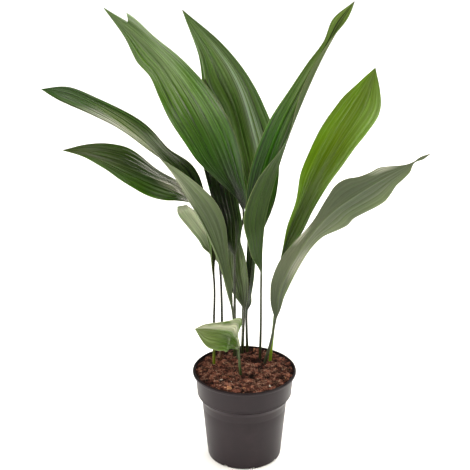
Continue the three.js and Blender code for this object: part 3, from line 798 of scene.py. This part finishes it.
        "turn": [-20, -20, 0],
        "fold": {"left": [10, 5, 0], "right": [20, 10, 10]},
        "wave": (2, 1.5, 1),
        "upper": ["#26340e", "#3a4a20", "#4c5e30", "#2e3e18"],
        "stem": ["#30381c", "#30381c"],
        "painted_light_tint": {"left": ("#56663f", 0.5, 0.25, 0.85)},
    },
    "leaf_low_small": {
        "stalk": [(-6, -19, FOOT_HEIGHT), (-6, -19, 152), (-8, -18, 174)],
        "blade": [(-10, -15, 198), (-16, -14, 218), (-36, -18, 232), (-80, -24, 241)],
        "left": [2, 16, 25, 31, 30, 31, 26, 0.5],
        "right": [2, 4, 5, 6, 12, 33, 24, 17, 13, 9, 0.5],
        "turn": [60, 40, 20],
        "fold": {"left": [20, 10, 0], "right": [60, 30, 0]},
        "wave": (2, 2, 1),
        "upper": ["#4a5e18", "#44601a", "#4c6822", "#6c7c48"],
        "under": ["#4f5a34", "#7a8462", "#8a9474", "#9aa284"],
        "vein_and_sheen_streak": 0.4,
        "stem": ["#30401c", "#46582c"],
        "painted_light_tint": {"right": ("#b4b99c", 0.95, 0.12, 0.34)},
    },
}


def through(values, t):
    """Values at each t, from 0 to 1, of a smooth curve through evenly spread numbers or points."""
    values = np.array(values, float)
    last = len(values) - 1
    padded = np.concatenate([[2 * values[0] - values[1]], values, [2 * values[-1] - values[-2]]])
    u = np.clip(t, 0, 1) * last
    i = np.minimum(u.astype(int), last - 1)
    f = (u - i).reshape(-1, *[1] * (values.ndim - 1))
    p0, p1, p2, p3 = (padded[i + k] for k in range(4))
    bend = 2 * p0 - 5 * p1 + 4 * p2 - p3 + f * (3 * (p1 - p2) + p3 - p0)
    return p1 + 0.5 * f * (p2 - p0 + f * bend)


def unit(vectors):
    return vectors / np.linalg.norm(vectors, axis=-1, keepdims=True)


def smoothstep(x, low, high):
    share = np.clip((x - low) / (high - low), 0, 1)
    return share * share * (3 - 2 * share)


def leaf_mesh(leaf, seed):
    """Vertices in metres, faces, and three numbers at each vertex: how far across from the midrib (-1
    the left margin, 1 the right), how far along (-1 the stalk's foot, 0 the blade's base, 1 its tip),
    and 1 on the upper face or 0 on the under side."""
    spine = np.array([*leaf["stalk"], *leaf["blade"]], float)
    begin = len(leaf["stalk"]) / (len(spine) - 1)
    blade_shares = np.linspace(0, 1, BLADE_STEPS + 1)
    if "tear" in leaf:
        blade_shares = np.sort([*blade_shares, leaf["tear"]["at"], leaf["tear"]["at"] + TEAR_LENGTH])
    stalk_part = begin * np.arange(STALK_STEPS) / STALK_STEPS
    t = np.concatenate([stalk_part, begin + (1 - begin) * blade_shares])
    share = np.maximum(0, (t - begin) / (1 - begin))
    centre = through(spine, t)
    along = unit(through(spine, np.minimum(t + 0.001, 1)) - through(spine, np.maximum(t - 0.001, 0)))
    front = np.array(leaf.get("front", (0, -1, 0)), float)
    upper = unit(front - along * (along @ front)[:, None])
    turn = np.radians(through(leaf["turn"], share))[:, None]
    upper = upper * np.cos(turn) + np.cross(along, upper) * np.sin(turn)
    right = np.cross(along, upper)

    flat = smoothstep(share, 0, BLADE_START)[:, None]
    radius = (STALK_RADIUS * (1 + FOOT_SWELL * (1 - smoothstep(t / begin, 0, 1))))[:, None]
    swell = (np.sin(np.pi * np.clip(share, 0, 1)) ** 0.7 * (share > 0))[:, None]
    share = share[:, None]
    phases = np.random.default_rng(seed).uniform(0, 2 * math.pi, 8)
    count, wave_height, wave_start = leaf["wave"]
    curls = leaf.get("curl", UNCURLED)

    def half(side, sign, s):
        """One half's loop points: offsets to the right, up and ahead, tilt, heights over and under."""
        least = np.where(share > 0.5, TIP, radius * (1 - flat) + TIP * flat)
        given = through(leaf[side], share[:, 0])[:, None]
        width = np.where(share > 0, np.maximum(given, least), radius)
        ahead = np.zeros_like(width)
        if "tear" in leaf and side == "right":
            tear = leaf["tear"]
            torn = share > tear["at"] + 1e-6
            ahead = tear["reach"] * np.clip((share - tear["from"]) / (tear["at"] - tear["from"]), 0, 1)
            ahead = np.where(torn, 0, ahead)
            inner = tear["inner"] * (1 - share) / (1 - tear["at"])
            width = np.where(torn, np.minimum(width, inner) + TIP, width)
        fold = np.radians(through(leaf["fold"][side], share[:, 0]))[:, None] * flat
        curl = np.radians(through(curls[side], share[:, 0]))[:, None] * flat
        curl = np.where(np.abs(curl) < 1e-3, 1e-3, curl)
        angle = fold + curl * s
        out = width * (np.sin(angle) - np.sin(fold)) / curl
        rise = width * (np.cos(fold) - np.cos(angle)) / curl
        phase = 2 * math.pi * count * share + wave_start + (MARGIN_SHIFT if sign > 0 else 0)
        rise = rise + wave_height * swell * s * s * np.sin(phase) * np.minimum(1, width / NARROW)

        # pleats between the veins, which wander along the blade, vary in depth across it and carry
        # finer ones; then a slow unevenness of the blade
        own = phases[:4] if sign > 0 else phases[4:]
        fade = smoothstep(s, 0.03, 0.2) * (1 - smoothstep(s, 0.88, 1)) * flat
        pleat = np.cos(2 * math.pi * PLEATS * s + own[0] + 0.8 * np.sin(5 * share + own[1]))
        pleat = pleat * (1 + 0.6 * np.cos(2 * math.pi * 1.6 * s + own[3] + 2 * share))
        pleat = pleat + 0.5 * np.cos(2 * math.pi * 2.1 * PLEATS * s + own[2])
        uneven = np.sin(2 * math.pi * 3.1 * share + own[3]) * s * (1 - s) * 4
        depth = PLEAT_DEPTH * leaf.get("pleat", 1)
        pleat = fade * (width / PLEAT_WIDTH) * (depth * pleat + 0.5 * uneven)

        round_part = (1 - flat) * radius * np.sqrt(np.maximum(1 - s * s, 0.04))
        thickness = flat * (BLADE - (BLADE - MARGIN) * s**6)
        rib = np.clip(1 - (s * width / RIB) ** 2, 0, 1)
        keel = (KEEL - (KEEL - KEEL_TIP) * smoothstep(share, 0, 1)) * rib * flat
        groove = RIB_GROOVE * rib * flat
        above = CHANNEL * round_part + thickness / 2 - groove + pleat
        below = -round_part - thickness / 2 - keel + pleat
        return sign * out, rise, ahead * s * s, sign * angle, above, below

    s = (np.arange(1, ACROSS_STEPS + 1) / ACROSS_STEPS)[None, :] ** CROWDING
    middle = half("right", 1, np.zeros((1, 1)))
    left = half("left", -1, s)
    right_side = half("right", 1, s)
    n = len(t)

    def every_row(values):
        return np.broadcast_to(values, (n, values.shape[1]))

    out, rise, ahead, tilt, above, below = [
        np.concatenate([every_row(a)[:, ::-1], every_row(b), every_row(c)], axis=1)
        for a, b, c in zip(left, middle, right_side)
    ]

    def face_points(height):
        sideways = (out - np.sin(tilt) * height)[..., None] * right[:, None]
        upwards = (rise + np.cos(tilt) * height)[..., None] * upper[:, None]
        return centre[:, None] + sideways + upwards + ahead[..., None] * along[:, None]

    loops = np.concatenate([face_points(above), face_points(below)[:, ::-1]], axis=1)
    row = loops.shape[1]
    half_row = row // 2
    first = np.arange(n - 1)[:, None] * row
    j = np.arange(row)[None, :]
    after = (j + 1) % row
    quads = np.stack([first + j, first + after, first + row + after, first + row + j], axis=-1)
    faces = quads.reshape(-1, 4).tolist()
    end = (n - 1) * row
    for k in range(half_row - 1):
        below_k = row - 1 - k
        faces.append([k, below_k, below_k - 1, k + 1])
        faces.append([end + k, end + k + 1, end + below_k - 1, end + below_k])

    line = np.concatenate([-s[0][::-1], [0], s[0]])
    marks = {
        "across": np.tile(np.concatenate([line, line[::-1]]), n),
        "along": np.repeat(np.where(t < begin, t / begin - 1, share[:, 0]), row),
        "upper_face": np.tile(np.repeat([1.0, 0.0], half_row), n),
    }
    return 0.001 * loops.reshape(-1, 3), faces, marks


# Cast iron plant leaf: a waxed leathery skin. The upper face is satin and shines in long streaks,
# because the veins pleat it; the under side is greyer and duller. A little light spreads in the leaf.
# Its colour also holds painted light: sheen and shade in streaks, in patches and on whole halves.
VEINS = 10  # broad streaks on each half of a blade
FINE_VEINS = 34
PAINTED_PATCH_STREAKS = 18
UNDER_STREAK = 0.45  # strength of the streaks on the under side, as a share of the upper side's
RIB_TONE_AND_HIGHLIGHT = "#7d8f5c"
MARGIN_TONE_AND_SHINE_THROUGH = "#9aa572"
WITHERED = "#4a4029"  # the very tip


def leaf_material(name, leaf, seed):
    material = new_material(name)
    across, along, upper_face = [
        add(material, "Attribute", {}, output="Fac", attribute_name=title)
        for title in ("across", "along", "upper_face")
    ]
    under_face = maths(material, "SUBTRACT", 1.0, upper_face)
    beside = maths(material, "ABSOLUTE", across)
    length = ranged(material, along, -1, 1)
    on_blade = ranged(material, along, 0.02, 0.12)

    def streaks(count, stretch, detail):
        x = maths(material, "MULTIPLY", across, count)
        y = maths(material, "MULTIPLY", along, stretch)
        at = add(material, "CombineXYZ", {"X": x, "Y": y, "Z": 3.7 * seed})
        return mottled(material, 1, detail, 0.6, at)

    def over(masks, below, above):
        """A colour above laid over the one below, as strongly as the masks' product."""
        factor = masks[0]
        for mask in masks[1:]:
            factor = maths(material, "MULTIPLY", factor, mask)
        return add(material, "Mix", {"Factor": factor, "A": below, "B": above}, data_type="RGBA")

    broad = streaks(VEINS, 1.4, 2)
    fine = streaks(FINE_VEINS, 3, 2)

    def tones(colours):
        base, low, middle, tip = colours
        foot, top = leaf["stem"]
        stops = [
            (0.2, foot), (0.3, top), (0.48, top), (0.54, base), (0.66, low), (0.8, middle), (0.97, tip),
            (0.995, tip), (1, WITHERED),
        ]
        return add(material, "ValToRGB", {"Fac": length}, stops)

    colour = over([upper_face], tones(leaf.get("under", GREY_GREEN)), tones(leaf["upper"]))

    # one half, or its outer part, is painted greener or paler than the rest of the blade: painted light
    # and shade, because more or less light falls on or through it
    cloudy = ranged(material, streaks(1.6, 4, 2), 0.3, 0.55)
    painted_light_tints = leaf.get("painted_light_tint", {})
    for side, sign in (("left", -1), ("right", 1)):
        if side in painted_light_tints:
            painted_light_tint, amount, low, high = painted_light_tints[side]
            outer = ranged(material, across, sign * low, sign * high)
            colour = over([outer, cloudy, on_blade, amount], colour, painted_light_tint)

    # painted highlights and painted shade: paler or deeper streaks laid on the blade where it shines or
    # lies in shade
    painted_patch_lines = ranged(material, streaks(PAINTED_PATCH_STREAKS, 1.6, 3), 0.38, 0.58)
    spot = add(material, "CombineXYZ", {"X": across, "Y": along})
    for face, tone, amount, *centre, half_width, half_length in leaf.get("painted_light_patches", ()):
        offset = add(material, "VectorMath", {0: spot, 1: (*centre, 0)}, operation="SUBTRACT")
        reach = (half_width, half_length, 1)
        offset = add(material, "VectorMath", {0: offset, 1: reach}, operation="DIVIDE")
        away = add(material, "VectorMath", {0: offset}, operation="LENGTH")
        shown_on = upper_face if face == "upper" else under_face
        colour = over([ranged(material, away, 1, 0.3, 0, amount), painted_patch_lines, shown_on], colour, tone)

    # the veins lighten and darken the blade, less so on the under side; the swing is large, so it also
    # paints sheen streaks and shade streaks
    vein_and_sheen_streak = leaf.get("vein_and_sheen_streak", VEIN_AND_SHEEN_STREAK)
    broad_swing = ranged(material, broad, 0.3, 0.7, -vein_and_sheen_streak, vein_and_sheen_streak)
    fine_swing = ranged(material, fine, 0.3, 0.7, -vein_and_sheen_streak, vein_and_sheen_streak)
    vein_and_sheen_swing = maths(material, "ADD", broad_swing, fine_swing)
    share_shown = ranged(material, upper_face, 0, 1, UNDER_STREAK)
    value = maths(material, "MULTIPLY_ADD", vein_and_sheen_swing, share_shown, 1.0)
    colour = add(material, "HueSaturation", {"Color": colour, "Value": value})
    # a paler midrib: partly its own tone, partly a painted highlight along its ridge
    colour = over([ranged(material, beside, 0.035, 0.01, 0, 0.2), on_blade], colour, RIB_TONE_AND_HIGHLIGHT)
    # a paler margin: partly its own tone, partly painted light that shines through the thin edge
    colour = over([ranged(material, beside, 0.965, 0.995, 0, 0.5), on_blade], colour, MARGIN_TONE_AND_SHINE_THROUGH)

    gloss_under = ranged(material, broad, 0, 1, 0.5, 0.6)
    gloss_upper = ranged(material, broad, 0, 1, 0.2, 0.34)
    roughness = add(material, "Mix", {"Factor": upper_face, "A": gloss_under, "B": gloss_upper})
    ripple = add(material, "Bump", {"Height": broad, "Strength": 0.5, "Distance": 0.0012})
    relief = add(
        material, "Bump", {"Height": fine, "Strength": 0.5, "Distance": 0.0004, "Normal": ripple}
    )
    skin(
        material, Base_Color=colour, Roughness=roughness, Normal=relief, IOR=1.45,
        Specular_IOR_Level=leaf.get("shine", WAX), Subsurface_Weight=0.12, Subsurface_Scale=0.002,
        Subsurface_Radius=(0.4, 1.0, 0.15),
    )
    return material


for seed, (node_name, leaf) in enumerate(leaves.items()):
    vertices, faces, marks = leaf_mesh(leaf, seed)
    blade_skin = leaf_material("leathery_" + node_name, leaf, seed)
    piece = mesh_piece(node_name.removeprefix("leaf_") + "_leaf", vertices, faces, blade_skin)
    for title, values in marks.items():
        attribute = piece.data.attributes.new(title, "FLOAT", "POINT")
        attribute.data.foreach_set("value", values.astype(np.float32))
    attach(piece, "root")
    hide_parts(node_name)

# ----------------------------------------------------------------------
# Rhizome. The woody creeping stem that carries the stalks lies hidden in the mix. It keeps its solid
# and gets a dull brown bark.
# ----------------------------------------------------------------------
bark_tones = [(0.35, "#5c4630"), (0.5, "#8f7850"), (0.68, "#b59f72")]
rhizome_bark = speckled("rhizome_bark", (350, 5, 0.7), bark_tones, (0.5, 0.0006))
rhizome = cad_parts["rhizome"]
rhizome.data.materials.clear()
rhizome.data.materials.append(rhizome_bark)

# ----------------------------------------------------------------------
# Studio. A plain white floor with a lamp of its own, soft lamps over the plant, on both sides, in front
# and behind, and a long lens that looks down on it.
# ----------------------------------------------------------------------
CAMERA_PLACE = (-15.5, -2382, 1426.7)
CAMERA_PITCH = 23.415  # degrees down
FOCAL_LENGTH = 1637  # in pixels of a picture 470 wide
PICTURE = 470
SENSOR = 36
FLOOR = 6  # half width of the floor in metres
FLOOR_DROP = 0.0002  # and how far it lies under the pot, so that the two don't share a face
WORLD_LIGHT = 0.14

floor_paint = new_material("white_floor")
floor_tones = [(0.3, "#f4f4f4"), (0.7, "#f6f6f6")]
floor_colour = add(floor_paint, "ValToRGB", {"Fac": mottled(floor_paint, 6, 3)}, floor_tones)
skin(floor_paint, Base_Color=floor_colour, Roughness=0.9)
floor_corners = [(-FLOOR, -FLOOR, 0), (FLOOR, -FLOOR, 0), (FLOOR, FLOOR, 0), (-FLOOR, FLOOR, 0)]
floor = mesh_piece("floor", floor_corners, [(0, 1, 2, 3)], floor_paint)
floor.location.z = -FLOOR_DROP

world = bpy.data.worlds.new("studio")
world.use_nodes = True
background = world.node_tree.nodes["Background"]
background.inputs["Color"].default_value = linear("#f8f4ec")
background.inputs["Strength"].default_value = WORLD_LIGHT
bpy.context.scene.world = world


def soft_box(name, place, aim, size, power, colour=linear("#fff8ea")[:3]):
    """A rectangular lamp at a place, in metres, that faces its aim. The camera doesn't see it."""
    lamp = bpy.data.objects.new(name, bpy.data.lights.new(name, "AREA"))
    lamp.location = place
    lamp.rotation_euler = (Vector(aim) - Vector(place)).to_track_quat("-Z", "Y").to_euler()
    lamp.visible_camera = False
    lamp.data.shape = "RECTANGLE"
    lamp.data.size, lamp.data.size_y = size
    lamp.data.energy = power
    lamp.data.color = colour
    bpy.context.scene.collection.objects.link(lamp)
    return lamp


soft_box("top", (0.1, 0.25, 2.1), (0, 0.05, 0.4), (1.0, 1.0), 14)
soft_box("left", (-1.6, 0, 0.65), (0, 0, 0.4), (0.8, 1.3), 15)
soft_box("right", (1.6, 0.1, 1.6), (0, 0, 0.4), (0.8, 0.9), 16)
soft_box("front_left", (-0.6, -1.6, 0.85), (0, 0, 0.5), (0.6, 0.4), 5.5)
soft_box("low_left", (-1.15, -1.3, 0.35), (0, 0, 0.5), (0.4, 0.4), 5.5)
soft_box("front_right", (1.5, -1.4, 1.8), (0, 0, 0.4), (0.8, 0.8), 6.5)
soft_box("back", (0.75, 2.25, 1.05), (0, 0, 0.4), (1.0, 0.35), 8)

# a lamp of its own keeps the floor white, as background lamps do
floor_light = soft_box("floor_light", (0, 1.4, 2.6), (0, 1.4, 0), (5, 5), 200, (1, 1, 1))
lit = bpy.data.collections.new("floor_only")
lit.objects.link(floor)
floor_light.light_linking.receiver_collection = lit

camera_data = bpy.data.cameras.new("camera")
camera_data.sensor_width = SENSOR
camera_data.lens = SENSOR * FOCAL_LENGTH / PICTURE
camera = bpy.data.objects.new("camera", camera_data)
camera.location = Vector(CAMERA_PLACE) * 0.001
camera.rotation_euler = (math.radians(90 - CAMERA_PITCH), 0, 0)
bpy.context.scene.collection.objects.link(camera)
bpy.context.scene.camera = camera
bpy.context.scene.view_settings.view_transform = "Standard"
